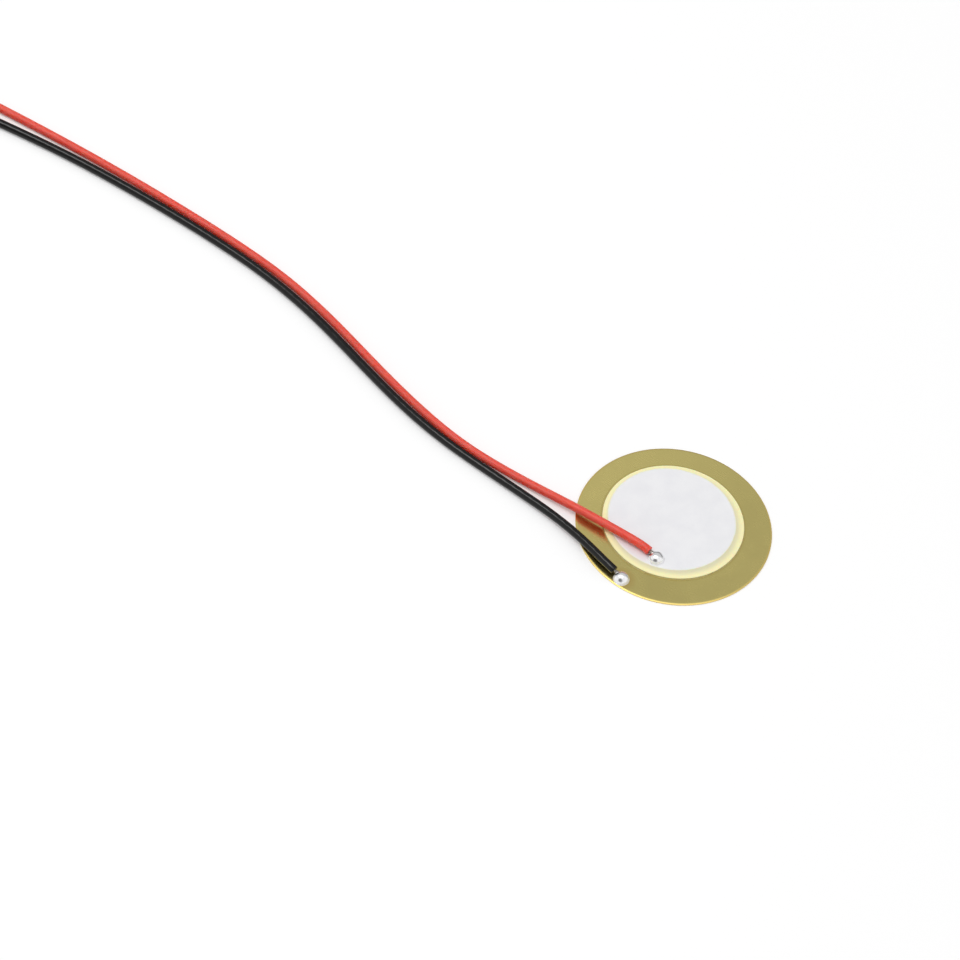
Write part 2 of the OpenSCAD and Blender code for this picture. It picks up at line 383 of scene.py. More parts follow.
def cured_adhesive():
    """Clear adhesive gone slightly yellow, smooth, with a few tiny bubbles."""
    finish, tree, shader, where = new_finish("cured_adhesive", Coat_Weight=0.5, Coat_Roughness=0.08)
    cloud = grain(tree, where, 0.8 * MM, 3)
    bubble = add(
        tree, "ShaderNodeTexVoronoi", {"Vector": where, "Scale": 1 / (0.5 * MM)}
    ).outputs["Distance"]
    base = blended(tree, cloud, srgb(166, 150, 88), srgb(190, 174, 112))
    base = blended(tree, fitted(tree, bubble, 0.08, 0.16, 0.5, 0), base, srgb(146, 126, 70))
    bump = raised(tree, cloud, 0.01 * MM)
    rough = fitted(tree, cloud, 0.3, 0.7, 0.2, 0.34)
    wire_up(tree, shader, Base_Color=base, Roughness=rough, Normal=bump)
    return finish


def bright_solder():
    """Solder that froze bright on its crown and frosted on its flank, with browned rosin at the wire that
    is also painted shade where the wire enters.
    """
    finish, tree, shader, where = new_finish("bright_solder")
    frost = grain(tree, where, 0.5 * MM, 4, 0.65)
    crystal = grain(tree, where, 0.07 * MM, 2)
    base = blended(tree, fitted(tree, frost, 0.35, 0.7, 0, 1), srgb(250, 250, 251), srgb(240, 240, 242))
    # Brown near each jacket's end: rosin residue, and also painted shade where the wire enters the joint.
    flux_and_shade = 0.0
    crown = 0.0
    for colour in LEADS:
        jacket = lead_lines(colour)[2]
        from_jacket = distance_from(tree, where, jacket[0])
        flux_and_shade = larger(tree, flux_and_shade, fitted(tree, from_jacket, 0.45 * MM, 0.7 * MM, 0.85, 0))
        from_middle = distance_from(tree, where, JOINTS[colour]["seat"])
        crown = larger(tree, crown, fitted(tree, from_middle, 0.88 * MM, 1.08 * MM, 1, 0))
    flux_and_shade = product(tree, flux_and_shade, fitted(tree, frost, 0.25, 0.45, 0.6, 1))
    base = blended(tree, flux_and_shade, base, srgb(96, 84, 66))
    rough = sum_of(tree, fitted(tree, frost, 0.4, 0.7, 0.12, 0.24), product(tree, crystal, 0.04))
    rough = sum_of(tree, rough, product(tree, flux_and_shade, 0.25))
    bump = raised(tree, frost, 0.012 * MM)
    bump = raised(tree, crystal, 0.0015 * MM, bump)
    metal = fitted(tree, crown, 0, 1, 0.15, 0.96)
    wire_up(tree, shader, Base_Color=base, Metallic=metal, Roughness=rough, Normal=bump)
    return finish


def tinned_strand():
    """Copper strand under a thin, cloudy coat of tin that lets a little of the copper through."""
    finish, tree, shader, where = new_finish("tinned_strand", Metallic=1.0)
    cloud = grain(tree, where, 0.3 * MM, 3)
    base = blended(tree, fitted(tree, cloud, 0.3, 0.7, 0, 1), srgb(206, 204, 200), srgb(186, 182, 174))
    coppery = fitted(tree, grain(tree, where, 0.12 * MM, 2), 0.66, 0.74, 0, 0.35)
    base = blended(tree, coppery, base, srgb(190, 140, 104))
    rough = fitted(tree, cloud, 0.3, 0.7, 0.2, 0.36)
    wire_up(tree, shader, Base_Color=base, Roughness=rough, Normal=raised(tree, cloud, 0.004 * MM))
    return finish


def lead_jacket(name, deep, pale, scuffed, bending, dullness, glow, length):
    """Soft extruded insulation: die lines along it, the strands' twist showing through, light scuffs."""
    finish, tree, shader, where = new_finish(
        name, IOR=bending, Subsurface_Weight=glow, Subsurface_Scale=1.2 * MM
    )
    along_round = add(tree, "ShaderNodeUVMap", uv_map="lead").outputs[0]
    cloud = grain(tree, where, 1.3 * MM, 3)
    base = blended(tree, fitted(tree, cloud, 0.3, 0.7, 0, 1), deep, pale)
    lines = grain(tree, stretched(tree, along_round, (length / (6 * MM), 26, 1)), 1.0, 2)
    twist = stretched(tree, along_round, (length / (9 * MM), 1, 1))
    apart = add(tree, "ShaderNodeSeparateXYZ", {0: twist})
    phase = sum_of(tree, apart.outputs[0], apart.outputs[1])
    ridge = add(
        tree, "ShaderNodeMath", {0: product(tree, phase, 6 * 2 * math.pi)}, operation="SINE"
    ).outputs[0]
    scuff = fitted(tree, grain(tree, where, 0.35 * MM, 5, 0.75), 0.62, 0.72, 0, 1)
    base = blended(tree, product(tree, scuff, 0.3), base, scuffed)
    bump = raised(tree, ridge, 0.0025 * MM)
    bump = raised(tree, lines, 0.006 * MM, bump)
    bump = raised(tree, grain(tree, where, 0.08 * MM, 2), 0.002 * MM, bump)
    rough = fitted(tree, cloud, 0.3, 0.7, dullness, dullness + 0.08)
    rough = sum_of(tree, rough, product(tree, scuff, 0.15))
    wire_up(tree, shader, Base_Color=base, Roughness=rough, Normal=bump)
    return finish


# ---------------------------------------------------------------------------------------------
# Mesh making
# ---------------------------------------------------------------------------------------------


def new_mesh(name, points, faces, sharp_angle=35):
    mesh = bpy.data.meshes.new(name)
    mesh.from_pydata([tuple(p) for p in points], [], faces)
    mesh.shade_smooth()
    mesh.set_sharp_from_angle(angle=math.radians(sharp_angle))
    mesh.update()
    return mesh


def show(name, mesh, finish, slot, *stands_for):
    """Puts a finished mesh in the scene as a piece that rides on the part and replaces its solids."""
    mesh.materials.clear()
    mesh.materials.append(finish)
    piece = bpy.data.objects.new(name, mesh)
    bpy.context.scene.collection.objects.link(piece)
    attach(piece, "root")
    if stands_for:
        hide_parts(*stands_for)
    return piece


def turned(profile, sides, centre):
    """Points and faces of a closed shape turned about the upright line through centre.

    profile goes from the axis at the bottom, out and up, back to the axis at the top."""
    points = [(centre[0], centre[1], profile[0][1])]
    for r, z in profile[1:-1]:
        for k in range(sides):
            a = 2 * math.pi * k / sides
            points.append((centre[0] + r * math.cos(a), centre[1] + r * math.sin(a), z))
    points.append((centre[0], centre[1], profile[-1][1]))
    rings = len(profile) - 2
    last = len(points) - 1
    faces = []
    for k in range(sides):
        n = (k + 1) % sides
        faces.append((0, 1 + n, 1 + k))
        for i in range(rings - 1):
            a = 1 + i * sides
            faces.append((a + k, a + n, a + sides + n, a + sides + k))
        top = 1 + (rings - 1) * sides
        faces.append((top + k, top + n, last))
    return points, faces


def rounded_corner(r, z, radius, steps):
    """Quarter turn from the side of radius r to the top at height z."""
    turns = [math.pi / 2 * k / steps for k in range(steps + 1)]
    return [(r - radius + radius * math.cos(t), z - radius + radius * math.sin(t)) for t in turns]


def cove(foot, top, steps):
    """Hollow curve that leaves the foot flat and reaches the top upright."""
    turns = [math.pi / 2 * k / steps for k in range(steps + 1)]
    return [
        (
            foot[0] + (top[0] - foot[0]) * math.sin(t),
            foot[1] + (top[1] - foot[1]) * (1 - math.cos(t)),
        )
        for t in turns
    ]


# ---------------------------------------------------------------------------------------------
# Centre lines of the leads
# ---------------------------------------------------------------------------------------------

SPLINE_STEPS = 14


def smooth_line(points, steps):
    """The cubic B-spline of the part's source, drawn with more steps."""
    p = np.array(points, float)
    q = np.vstack([2 * p[0] - p[1], p, 2 * p[-1] - p[-2]])
    line = []
    for i in range(len(p) - 1):
        for k in range(steps):
            t = k / steps
            weights = (
                (1 - t) ** 3,
                3 * t**3 - 6 * t**2 + 4,
                -3 * t**3 + 3 * t**2 + 3 * t + 1,
                t**3,
            )
            line.append(sum(w * q[i + j] for j, w in enumerate(weights)) / 6)
    line.append(p[-1])
    return np.array(line)


def lead_lines(colour):
    """The lead's way out of its joint, its jacket's centre line, and its wire's, which is longer."""
    lead = LEADS[colour]
    seat = JOINTS[colour]["seat"]
    rise = (JACKET_R + JACKET_LIFT - CORE_HEIGHT) / lead["bare"]
    level = math.sqrt(1 - rise * rise)
    bearing = math.radians(lead["bearing"])
    way = np.array([level * math.cos(bearing), level * math.sin(bearing), rise])
    core = np.array(seat) + np.array([0, 0, CORE_HEIGHT])
    start = core + lead["bare"] * way
    laid = [(x * MM, y * MM, gap * MM + JACKET_R) for x, y, gap in lead["route"]]
    jacket = smooth_line([start, start + STRAIGHT_RUN * way, *laid], SPLINE_STEPS)
    onward = jacket[-1] - jacket[-2]
    onward = onward / np.linalg.norm(onward)
    stride = 0.2 * MM
    bare_runs = np.arange(0, CORE_PAST + lead["bare"], stride)
    before = [core - CORE_PAST * way + s * way for s in bare_runs]
    after = [jacket[-1] + s * onward for s in np.arange(stride, BARE_END, stride)]
    wire = np.vstack([before, jacket, after, jacket[-1] + BARE_END * onward])
    return way, core, jacket, wire


def frames_along(line):
    """Unit vectors along the line, to its side and upwards at each of its points."""
    ways = np.gradient(line, axis=0)
    ways /= np.linalg.norm(ways, axis=1)[:, None]
    sides = np.cross([0, 0, 1], ways)
    sides /= np.linalg.norm(sides, axis=1)[:, None]
    return ways, sides, np.cross(ways, sides)


def run_along(line):
    """Length of the line up to each of its points."""
    return np.concatenate([[0], np.cumsum(np.linalg.norm(np.diff(line, axis=0), axis=1))])


# ---------------------------------------------------------------------------------------------
# Plate, adhesive, ceramic and silver
# ---------------------------------------------------------------------------------------------

ROUND_SIDES = 288


def make_plate():
    """Punched blank: its upper edge drawn down by the punch, its lower edge sharp.

    The roll is what the punch draws down, the edge its rounded end, and the break the lower corner."""
    roll_w = 0.36 * MM
    roll_h = 0.06 * MM
    edge = 0.03 * MM
    break_w = 0.012 * MM
    rings = [0.25, 0.5, 0.75, 0.92]
    profile = [(0, 0)]
    profile += [(share * PLATE_R, 0) for share in rings]
    profile += [(PLATE_R - 3 * break_w, 0), (PLATE_R - break_w, 0), (PLATE_R, break_w)]
    profile += rounded_corner(PLATE_R, PLATE_T - roll_h, edge, 6)
    steps = 10
    for k in range(1, steps + 1):
        left = 1 - k / steps
        profile.append((PLATE_R - edge - (roll_w - edge) * (1 - left), PLATE_T - roll_h * left**2))
    profile += [(share * PLATE_R, PLATE_T) for share in reversed(rings)]
    profile += [(0, PLATE_T)]
    points, faces = turned(profile, ROUND_SIDES, (0, 0))
    show("plate", new_mesh("plate", points, faces, 50), rolled_brass(), "brass", "brass_plate")


def make_adhesive():
    """The adhesive layer with its pocket for the hidden silver, and a bead of uneven width up the ceramic.
    """
    low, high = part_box("bond_film")
    reach = (high.x - low.x) / 2
    film_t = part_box("rear_electrode")[0].z - low.z
    pocket = (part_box("rear_electrode")[1].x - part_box("rear_electrode")[0].x) / 2
    shelf = ceramic_low.z
    profile = [(0, low.z), (CERAMIC_R, low.z)]
    profile += cove((reach, low.z), (CERAMIC_R, high.z), 8)
    profile += [(CERAMIC_R, shelf), (pocket, shelf), (pocket, low.z + film_t), (0, low.z + film_t)]
    points, faces = turned(profile, ROUND_SIDES, CERAMIC_AT)
    placed = []
    for p in points:
        out = Vector((p[0] - CERAMIC_AT.x, p[1] - CERAMIC_AT.y, 0))
        proud = out.length - CERAMIC_R
        if proud > 0.001 * MM:
            wave = noise.noise(Vector(p) / (1.1 * MM))
            lump = noise.noise(Vector(p) / (0.35 * MM))
            fullness = min(0.78 + 0.22 * wave + 0.1 * lump, 1)
            out = out.normalized() * (CERAMIC_R + proud * fullness)
        placed.append((CERAMIC_AT.x + out.x, CERAMIC_AT.y + out.y, p[2]))
    mesh = new_mesh("adhesive", placed, faces, 40)
    show("adhesive", mesh, cured_adhesive(), "adhesive", "bond_film")


def fired_blank_tree():
    """Geometry nodes for a fired disc: a filled circle with a ragged rim, raised to its thickness."""
    tree = bpy.data.node_groups.new("fired_blank", "GeometryNodeTree")
    face = tree.interface
    face.new_socket("Geometry", in_out="INPUT", socket_type="NodeSocketGeometry")
    for name in ("Radius", "Thickness", "Raggedness", "Grain"):
        face.new_socket(name, in_out="INPUT", socket_type="NodeSocketFloat")
    face.new_socket("Seed", in_out="INPUT", socket_type="NodeSocketInt")
    face.new_socket("Finish", in_out="INPUT", socket_type="NodeSocketMaterial")
    face.new_socket("Geometry", in_out="OUTPUT", socket_type="NodeSocketGeometry")
    given = add(tree, "NodeGroupInput").outputs
    ring = add(
        tree, "GeometryNodeMeshCircle", {"Vertices": 720, "Radius": given["Radius"]}, fill_type="NGON"
    )
    place = add(tree, "GeometryNodeInputPosition").outputs[0]
    lumps = add(
        tree,
        "ShaderNodeTexNoise",
        {"Vector": place, "W": given["Seed"], "Scale": given["Grain"], "Detail": 4, "Roughness": 0.6},
        noise_dimensions="4D",
    ).outputs[0]
    inward = add(
        tree, "ShaderNodeMath", {0: lumps, 1: given["Raggedness"]}, operation="MULTIPLY"
    ).outputs[0]
    outward = add(tree, "ShaderNodeVectorMath", {0: place}, operation="NORMALIZE").outputs[0]
    moved = add(
        tree, "ShaderNodeVectorMath", {0: outward, "Scale": inward}, operation="SCALE"
    ).outputs[0]
    back = add(tree, "ShaderNodeVectorMath", {0: place, 1: moved}, operation="SUBTRACT").outputs[0]
    ragged = add(tree, "GeometryNodeSetPosition", {"Geometry": ring.outputs[0], "Position": back})
    up = add(tree, "ShaderNodeCombineXYZ", {"Z": 1.0}).outputs[0]
    thick = add(
        tree,
        "GeometryNodeExtrudeMesh",
        {"Mesh": ragged.outputs[0], "Offset": up, "Offset Scale": given["Thickness"], "Individual": False},
    )
    under = add(tree, "GeometryNodeFlipFaces", {"Mesh": ragged.outputs[0]})
    closed = add(tree, "GeometryNodeJoinGeometry")
    tree.links.new(thick.outputs[0], closed.inputs[0])
    tree.links.new(under.outputs[0], closed.inputs[0])
    merged = add(
        tree, "GeometryNodeMergeByDistance", {"Geometry": closed.outputs[0], "Distance": 0.0005 * MM}
    )
    real = add(tree, "GeometryNodeRealizeInstances", {"Geometry": merged.outputs[0]})
    finished = add(
        tree, "GeometryNodeSetMaterial", {"Geometry": real.outputs[0], "Material": given["Finish"]}
    )
    add(tree, "NodeGroupOutput", {"Geometry": finished.outputs[0]})
    return tree


def grown(name, tree, values, carrier=None):
    """The mesh that a tree makes on the carrier with these values for its inputs."""
    carrier = carrier or bpy.data.meshes.new(name)
    seed = bpy.data.objects.new(name, carrier)
    bpy.context.scene.collection.objects.link(seed)
    maker = seed.modifiers.new("maker", "NODES")
    maker.node_group = tree
    for item in tree.interface.items_tree:
        if item.in_out == "INPUT" and item.name in values:
            maker[item.identifier] = values[item.name]
    evaluated = seed.evaluated_get(bpy.context.evaluated_depsgraph_get())
    mesh = bpy.data.meshes.new_from_object(evaluated)
    bpy.data.objects.remove(seed)
    return mesh


def make_fired_disc(name, node, tree, finish, slot, raggedness, lump, bevel, seed):
    """One fired disc, worn round its upper edge and set where the frame has it."""
    low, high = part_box(node)
    values = {
        "Radius": (high.x - low.x) / 2,
        "Thickness": high.z - low.z,
        "Raggedness": raggedness,
        "Grain": 1 / lump,
        "Seed": seed,
        "Finish": finish,
    }
    mesh = grown(name, tree, values)
    mesh.transform(Matrix.Translation((middle(node).x, middle(node).y, low.z)))
    if bevel:
        mesh = beveled(name, mesh, bevel)
    mesh.shade_smooth()
    mesh.set_sharp_from_angle(angle=math.radians(30))
    return show(name, mesh, finish, slot, node)


def beveled(name, mesh, width):
    """The mesh with every corner over 60 degrees rounded."""
    rough = bpy.data.objects.new(name, mesh)
    bpy.context.scene.collection.objects.link(rough)
    worn = rough.modifiers.new("worn", "BEVEL")
    worn.width = width
    worn.segments = 3
    worn.limit_method = "ANGLE"
    worn.angle_limit = math.radians(60)
    evaluated = rough.evaluated_get(bpy.context.evaluated_depsgraph_get())
    result = bpy.data.meshes.new_from_object(evaluated)
    bpy.data.objects.remove(rough)
    return result


def make_fired_discs():
    tree = fired_blank_tree()
    silver = fired_silver()
    make_fired_disc(
        "ceramic", "ceramic_disc", tree, bare_ceramic(), "ceramic", 0.03 * MM, 0.5 * MM, 0.025 * MM, 3
    )
    make_fired_disc("top_silver", "front_electrode", tree, silver, "silver", 0.07 * MM, 0.4 * MM, 0, 5)
    make_fired_disc("hidden_silver", "rear_electrode", tree, silver, "silver", 0.05 * MM, 0.4 * MM, 0, 8)


# ---------------------------------------------------------------------------------------------
# Solder
# ---------------------------------------------------------------------------------------------

# The thin foot round each dome, and how far round the dome's curve the foot reaches up
FOOT_W = 0.04 * MM
FOOT_TURN = 8
# How far a dome is drawn below its seat, where the seat cuts it off
ROOT = 0.1 * MM
# Radius of the solder drawn along the wire, at the joint's middle and at its thin end
WICK_R = (0.47 * MM, 0.25 * MM)
# Grid on which the dome and the drawn solder melt into one, in millimetres, and their later flow
MELT_GRID = 0.03
FLOW_STEPS = 7
# Size and depth of the dents that a joint freezes with
DENT_SIZE = 0.9 * MM
DENT_DEPTH = 0.03 * MM


def tube(line, radius, sides):
    """Points and faces of a closed round bar along the line. radius is one value, or one a point."""
    side, up = frames_along(line)[1:]
    radii = np.broadcast_to(radius, (len(line),))
    points = []
    for at, s, u, r in zip(line, side, up, radii):
        for k in range(sides):
            a = 2 * math.pi * k / sides
            points.append(at + r * (math.cos(a) * s + math.sin(a) * u))
    faces = []
    for i in range(len(line) - 1):
        for k in range(sides):
            n = (k + 1) % sides
            a = i * sides
            faces.append((a + k, a + n, a + sides + n, a + sides + k))
    faces.append(tuple(reversed(range(sides))))
    faces.append(tuple((len(line) - 1) * sides + k for k in range(sides)))
    return points, faces


def joined(shapes):
    """One list of points and one of faces from several."""
    points = []
    faces = []
    for more_points, more_faces in shapes:
        base = len(points)
        points += list(more_points)
        faces += [tuple(base + i for i in face) for face in more_faces]
    return points, faces


def make_solder(colour, finish):
    """A dome with a thin foot, drawn a little way along the bare wire and cut off at its seat.

    It is melted together in millimetres, because the remesher's grid has a smallest size."""
    node = colour + "_solder_joint"
    seat = JOINTS[colour]["seat"]
    height = JOINTS[colour]["top"] - seat.z
    low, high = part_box(node)
    foot_r = (high.y - low.y) / 2
    cap_r = foot_r - FOOT_W
    way, core = lead_lines(colour)[:2]
    turn = math.radians(FOOT_TURN)
    profile = [(0, seat.z - ROOT), (foot_r, seat.z - ROOT)]
    shoulder = (cap_r * math.cos(turn), seat.z + height * math.sin(turn))
    profile += cove((foot_r, seat.z), shoulder, 8)
    steps = 14
    climbs = [turn + (math.pi / 2 - turn) * k / steps for k in range(1, steps)]
    profile += [(cap_r * math.cos(t), seat.z + height * math.sin(t)) for t in climbs]
    profile += [(0, seat.z + height)]
    shapes = [turned(profile, 72, seat)]
    wick_l = (foot_r + LEADS[colour]["bare"]) / 2
    stops = 9
    wick = np.array([core + s * way for s in np.linspace(0, wick_l, stops)])
    shapes.append(tube(wick, np.linspace(*WICK_R, stops), 28))
    points, faces = joined(shapes)
    mesh = bpy.data.meshes.new(node)
    mesh.from_pydata([tuple(np.array(p) / MM) for p in points], [], faces)
    lump = bpy.data.objects.new(node, mesh)
    bpy.context.scene.collection.objects.link(lump)
    melt = lump.modifiers.new("melt", "REMESH")
    melt.mode = "VOXEL"
    melt.voxel_size = MELT_GRID
    flow = lump.modifiers.new("flow", "SMOOTH")
    flow.factor = 0.5
    flow.iterations = FLOW_STEPS
    evaluated = lump.evaluated_get(bpy.context.evaluated_depsgraph_get())
    blob = bpy.data.meshes.new_from_object(evaluated)
    bpy.data.objects.remove(lump)
    blob.transform(Matrix.Scale(MM, 4))
    count = len(blob.vertices)
    at = np.empty(3 * count)
    outward = np.empty(3 * count)
    blob.vertices.foreach_get("co", at)
    blob.vertex_normals.foreach_get("vector", outward)
    at = at.reshape(-1, 3)
    outward = outward.reshape(-1, 3)
    uneven = np.array([noise.noise(Vector(p) / DENT_SIZE) for p in at]) * DENT_DEPTH
    at = np.clip(at + outward * uneven[:, None], (low.x, low.y, seat.z), high)
    blob.vertices.foreach_set("co", at.ravel())
    blob.update()
    blob.shade_smooth()
    show(colour + "_solder", blob, finish, "solder", node)


# ---------------------------------------------------------------------------------------------
# Leads
# ---------------------------------------------------------------------------------------------


def stranded_wire_tree():
    """Geometry nodes for strands laid round the line: one in the middle and the rest about it."""
    tree = bpy.data.node_groups.new("stranded_wire", "GeometryNodeTree")
    face = tree.interface
    face.new_socket("Geometry", in_out="INPUT", socket_type="NodeSocketGeometry")
    face.new_socket("Strand Radius", in_out="INPUT", socket_type="NodeSocketFloat")
    face.new_socket("Lay Length", in_out="INPUT", socket_type="NodeSocketFloat")
    face.new_socket("Outer Strands", in_out="INPUT", socket_type="NodeSocketInt")
    face.new_socket("Finish", in_out="INPUT", socket_type="NodeSocketMaterial")
    face.new_socket("Geometry", in_out="OUTPUT", socket_type="NodeSocketGeometry")
    given = add(tree, "NodeGroupInput").outputs
    count = sum_of(tree, given["Outer Strands"], 1)
    line = add(tree, "GeometryNodeMeshToCurve", {0: given["Geometry"]})
    level = add(tree, "GeometryNodeSetCurveNormal", {"Curve": line.outputs[0]}, mode="Z_UP")
    copies = add(
        tree,
        "GeometryNodeDuplicateElements",
        {"Geometry": level.outputs[0], "Amount": count},
        domain="SPLINE",
    )
    number = copies.outputs["Duplicate Index"]
    outer = add(tree, "ShaderNodeMath", {0: number, 1: 0.5}, operation="GREATER_THAN").outputs[0]
    apart = product(tree, outer, product(tree, given["Strand Radius"], 2))
    share = add(
        tree, "ShaderNodeMath", {0: number, 1: given["Outer Strands"]}, operation="DIVIDE"
    ).outputs[0]
    run = add(tree, "GeometryNodeSplineParameter").outputs["Length"]
    turns = add(tree, "ShaderNodeMath", {0: run, 1: given["Lay Length"]}, operation="DIVIDE").outputs[0]
    angle = product(tree, sum_of(tree, share, turns), 2 * math.pi)
    way = add(tree, "GeometryNodeInputTangent").outputs[0]
    normal = add(tree, "GeometryNodeInputNormal").outputs[0]
    across = add(tree, "ShaderNodeVectorMath", {0: way, 1: normal}, operation="CROSS_PRODUCT").outputs[0]
    offsets = []
    for direction, turn in ((normal, "COSINE"), (across, "SINE")):
        reach = product(tree, add(tree, "ShaderNodeMath", {0: angle}, operation=turn).outputs[0], apart)
        offsets.append(
            add(tree, "ShaderNodeVectorMath", {0: direction, "Scale": reach}, operation="SCALE").outputs[0]
        )
    offset = add(tree, "ShaderNodeVectorMath", {0: offsets[0], 1: offsets[1]}, operation="ADD").outputs[0]
    laid = add(tree, "GeometryNodeSetPosition", {"Geometry": copies.outputs[0], "Offset": offset})
    section = add(
        tree, "GeometryNodeCurvePrimitiveCircle", {"Resolution": 8, "Radius": given["Strand Radius"]}
    )
    swept = add(
        tree,
        "GeometryNodeCurveToMesh",
        {"Curve": laid.outputs[0], "Profile Curve": section.outputs[0], "Fill Caps": True},
    )
    real = add(tree, "GeometryNodeRealizeInstances", {"Geometry": swept.outputs[0]})
    finished = add(
        tree, "GeometryNodeSetMaterial", {"Geometry": real.outputs[0], "Material": given["Finish"]}
    )
    add(tree, "NodeGroupOutput", {"Geometry": finished.outputs[0]})
    return tree


def line_mesh(name, line):
    mesh = bpy.data.meshes.new(name)
    mesh.from_pydata([tuple(p) for p in line], [(i, i + 1) for i in range(len(line) - 1)], [])
    return mesh


def make_wire(colour, wire, tree, finish):
    """Seven tinned strands, their grooves filled with tin where they are bare and rounded at the tip."""
    values = {
        "Strand Radius": STRAND_R,
        "Lay Length": 8 * MM,
        "Outer Strands": 6,
        "Finish": finish,
    }
    name = colour + "_wire"
    strands = grown(name, tree, values, line_mesh(name, wire))
    points = [v.co[:] for v in strands.vertices]
    faces = [tuple(p.vertices) for p in strands.polygons]
    bare = LEADS[colour]["bare"] + CORE_PAST
    inside = 1 * MM
    run = run_along(wire)
    near = wire[run < bare + inside]
    far = wire[run > run[-1] - BARE_END - inside]
    left = run_along(far)[-1] - run_along(far)
    tin = 0.165 * MM
    tip = 0.12 * MM
    rounding = np.sqrt(np.clip(1 - (1 - left / tip) ** 2, 0.02, 1))
    ends = np.where(left < tip, tin * rounding, tin)
    shapes = [(points, faces), tube(near, tin, 18), tube(far, ends, 18)]
    points, faces = joined(shapes)
    mesh = new_mesh(name, points, faces, 50)
    return show(name, mesh, finish, "tinned_wire", colour + "_lead_conductor")


def make_jacket(colour, jacket, finish):
    """Hollow sleeve: its soldered end rounded and a little swollen by the heat, its free end cut square.

    Each station is a length along the sleeve and a radius, out along its skin and back in its bore."""
    side, up = frames_along(jacket)[1:]
    run = run_along(jacket)
    total = run[-1]
    sides = 28
    lip = 0.09 * MM
    nick = 0.025 * MM
    swelling = 0.012
    swollen_at = 0.45 * MM
    swollen_w = 0.22 * MM
    heated_l = 1.05 * MM
    margin = 0.05 * MM
    stations = [(0, JACKET_R - lip)]
    for step in range(1, 5):
        t = math.pi / 2 * step / 4
        stations.append((lip * (1 - math.cos(t)), JACKET_R - lip + lip * math.sin(t)))
    for s in np.arange(0.15 * MM, 1.0 * MM, 0.1 * MM):
        swell = swelling * math.exp(-(((s - swollen_at) / swollen_w) ** 2))
        stations.append((s, JACKET_R * (1 + swell)))
    stations += [(s, JACKET_R) for s in run if heated_l < s < total - 2 * nick]
    stations += [(total - nick, JACKET_R), (total, JACKET_R - nick)]
    stations.append((total, BORE_R))
    stations += [(s, BORE_R) for s in run[::-1] if margin < s < total - margin]
    stations.append((0, BORE_R))
    points = []
    for s, r in stations:
        at = np.array([np.interp(s, run, jacket[:, j]) for j in range(3)])
        across = np.array([np.interp(s, run, side[:, j]) for j in range(3)])
        over = np.array([np.interp(s, run, up[:, j]) for j in range(3)])
        for k in range(sides):
            a = 2 * math.pi * k / sides
            points.append(at + r * (math.cos(a) * across + math.sin(a) * over))
    faces = []
    rings = len(stations)
    for i in range(rings):
        for k in range(sides):
            n = (k + 1) % sides
            a = i * sides
            b = (i + 1) % rings * sides
            faces.append((a + k, a + n, b + n, b + k))
    name = colour + "_jacket"
    mesh = new_mesh(name, points, faces, 40)
    chart = mesh.uv_layers.new(name="lead")
    for index, loop in enumerate(mesh.loops):
        ring, k = divmod(loop.vertex_index, sides)
        face = index // 4
        last = face % sides == sides - 1 and index % 4 in (1, 2)
        chart.data[index].uv = (stations[ring][0] / total, (sides if last else k) / sides)
    return show(name, mesh, finish, colour + "_jacket", colour + "_lead_jacket")


# Each jacket: the two shades between which its colour drifts, the shade of its scuffs, how much it
# bends light, its roughness, and how much light enters it and comes out again
JACKET_LOOKS = {
    "red": {
        "deep": srgb(234, 84, 69),
        "pale": srgb(239, 92, 77),
        "scuffed": srgb(242, 130, 116),
        "bending": 1.4,
        "dullness": 0.36,
        "glow": 1.0,
    },
    "black": {
        "deep": srgb(7, 6, 6),
        "pale": srgb(11, 10, 10),
        "scuffed": srgb(30, 28, 28),
        "bending": 1.36,
        "dullness": 0.13,
        "glow": 0.0,
    },
}


def make_leads():
    tree = stranded_wire_tree()
    strand = tinned_strand()
    solder = bright_solder()
    for colour in LEADS:
        jacket, wire = lead_lines(colour)[2:]
        length = run_along(jacket)[-1]
        finish = lead_jacket(colour + "_insulation", length=length, **JACKET_LOOKS[colour])
        sleeve = make_jacket(colour, jacket, finish)
        strands = make_wire(colour, wire, tree, strand)
        make_solder(colour, solder)


make_leads()
make_plate()
make_adhesive()
make_fired_discs()

# ---------------------------------------------------------------------------------------------
# Floor and light
# ---------------------------------------------------------------------------------------------

# Light tent, in units of a white surface: its ceiling, and its near and far walls
CEILING = 1.0
NEAR_WALL = 0.95
FAR_WALL = 0.59
# Share of the far wall's light left along its dark skirting
SKIRTING = 0.25
# The gap through which the tent is worked: its azimuth and elevation, the radii where it is darkest
# and where it ends, and the share of light left in it
GAP_AT = (CAMERA_AZIMUTH - 8, 25)
GAP_R = (20, 38)
GAP_LEVEL = 0.2
# The white sheet: half its width, how far it lies under the part, its colour, and the glow that
# makes up for what a matte sheet loses
SHEET_REACH = 3.0
SHEET_DROP = 0.02 * MM
SHEET_WHITE = (0.8, 0.8, 0.8, 1)
SHEET_GLOW = 0.19
# The lamp over the tent's near left corner: its place, what it shines at, its diameter and its power
LAMP_AT = (-0.26, -0.2, 0.84)
LAMP_AIM = (-0.03, 0, 0)
LAMP_D = 0.4
LAMP_POWER = 2.0


